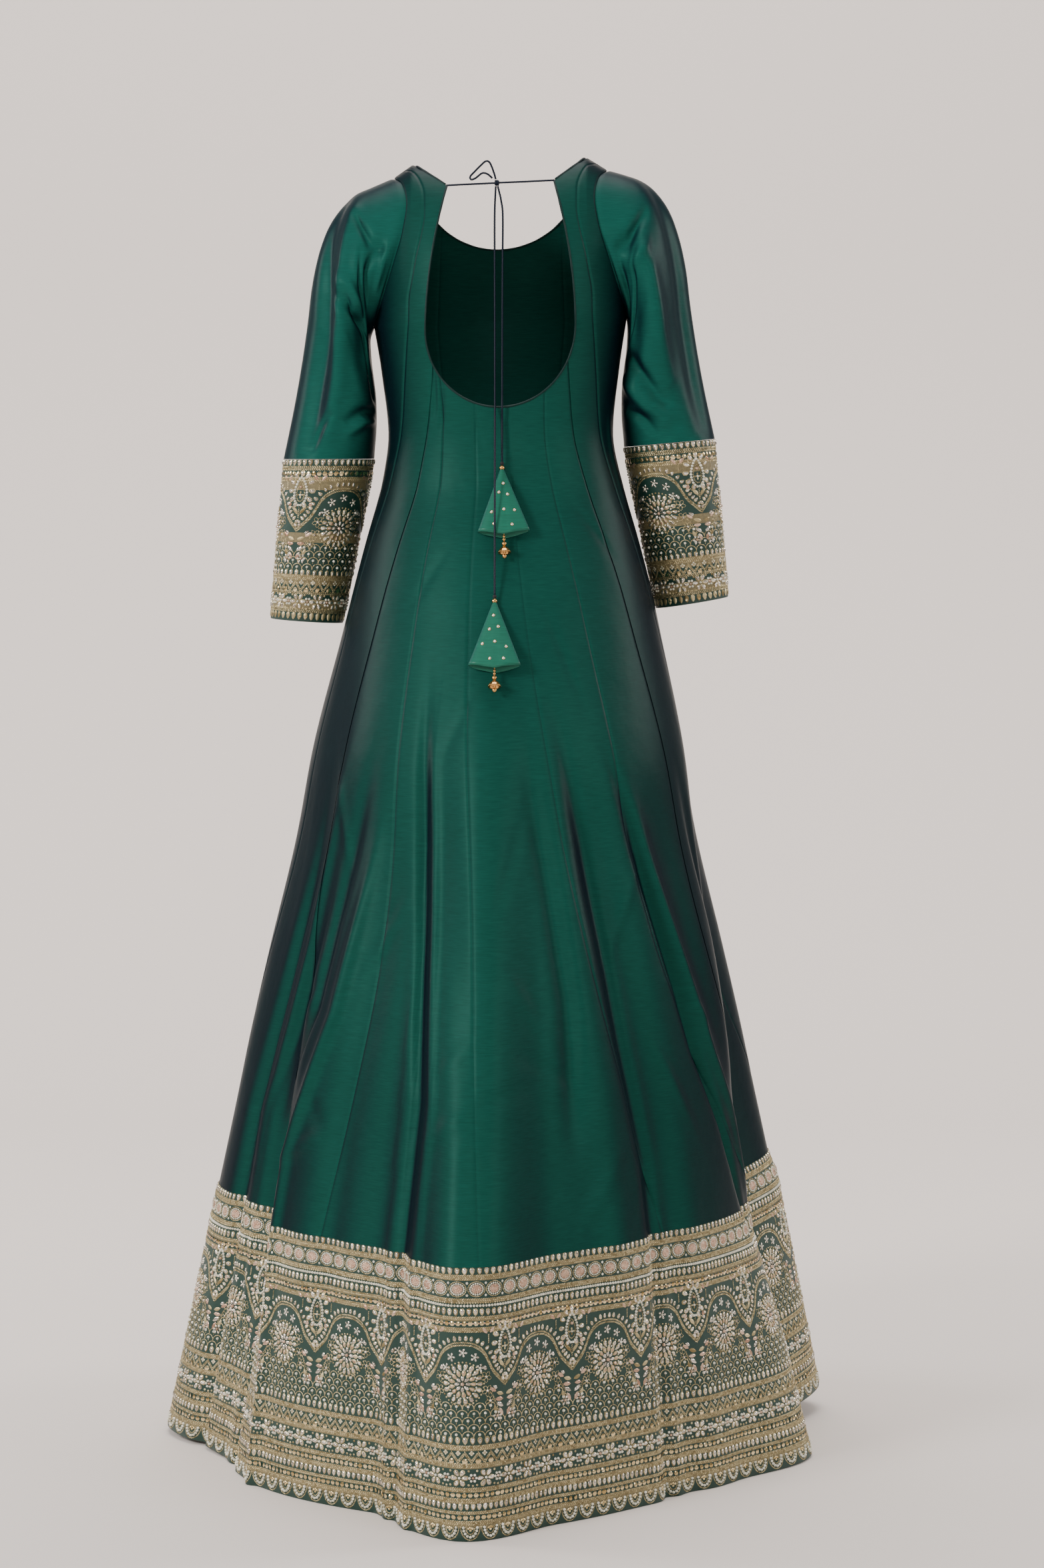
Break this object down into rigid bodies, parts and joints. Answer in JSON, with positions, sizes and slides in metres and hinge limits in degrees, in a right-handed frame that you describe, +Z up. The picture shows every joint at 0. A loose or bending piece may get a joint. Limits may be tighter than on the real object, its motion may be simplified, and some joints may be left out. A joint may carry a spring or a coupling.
{
  "type": "anarkali gown",
  "caption": "Floor-length long-sleeved anarkali gown in flared princess panels, with a deep oval back cut-out, a tie with hanging tassels, and embroidered hem and cuffs.",
  "frame": {"origin": "midway between the two shoulder ridges, where a wearer's shoulders hold the gown up", "axes": "+Z up, +Y the wearer's front, +X the wearer's right"},
  "size_m": [0.7757, 0.878, 1.4866],
  "materials": {
    "emerald_shot_silk": "satin",
    "embroidered_border": "metallic embroidery",
    "dark_piping": "satin",
    "navy_tie_cord": "satin",
    "bright_green_silk": "satin",
    "antique_gold": "aged",
    "black_thread": "matte"
  },
  "bodies": {
    "root": {"back_panel_1": "emerald_shot_silk", "back_panel_2": "emerald_shot_silk", "back_panel_3": "emerald_shot_silk", "back_panel_4": "emerald_shot_silk", "back_panel_5": "emerald_shot_silk", "back_shoulder_panel_left": "emerald_shot_silk", "back_shoulder_panel_right": "emerald_shot_silk", "side_panel_left": "emerald_shot_silk", "side_panel_right": "emerald_shot_silk", "front_panel_left": "emerald_shot_silk", "front_panel_right": "emerald_shot_silk", "front_panel_centre": "emerald_shot_silk", "sleeve_left": "emerald_shot_silk", "sleeve_right": "emerald_shot_silk", "back_border_1": "embroidered_border", "back_border_2": "embroidered_border", "back_border_3": "embroidered_border", "back_border_4": "embroidered_border", "back_border_5": "embroidered_border", "back_shoulder_border_left": "embroidered_border", "back_shoulder_border_right": "embroidered_border", "side_border_left": "embroidered_border", "side_border_right": "embroidered_border", "front_border_left": "embroidered_border", "front_border_right": "embroidered_border", "front_border_centre": "embroidered_border", "cuff_left": "embroidered_border", "cuff_right": "embroidered_border", "cutout_piping": "dark_piping", "neck_piping": "dark_piping", "tie_cord_left": "navy_tie_cord", "tie_cord_right": "navy_tie_cord", "tie_knot": "navy_tie_cord", "tie_loop": "navy_tie_cord", "tie_end_short": "navy_tie_cord", "tie_end_long": "navy_tie_cord", "latkan_short_cone": "bright_green_silk", "latkan_short_bead": "antique_gold", "latkan_short_charm": "antique_gold", "latkan_short_knot": "black_thread", "latkan_long_cone": "bright_green_silk", "latkan_long_bead": "antique_gold", "latkan_long_charm": "antique_gold", "latkan_long_knot": "black_thread"}
  },
  "joints": []
}
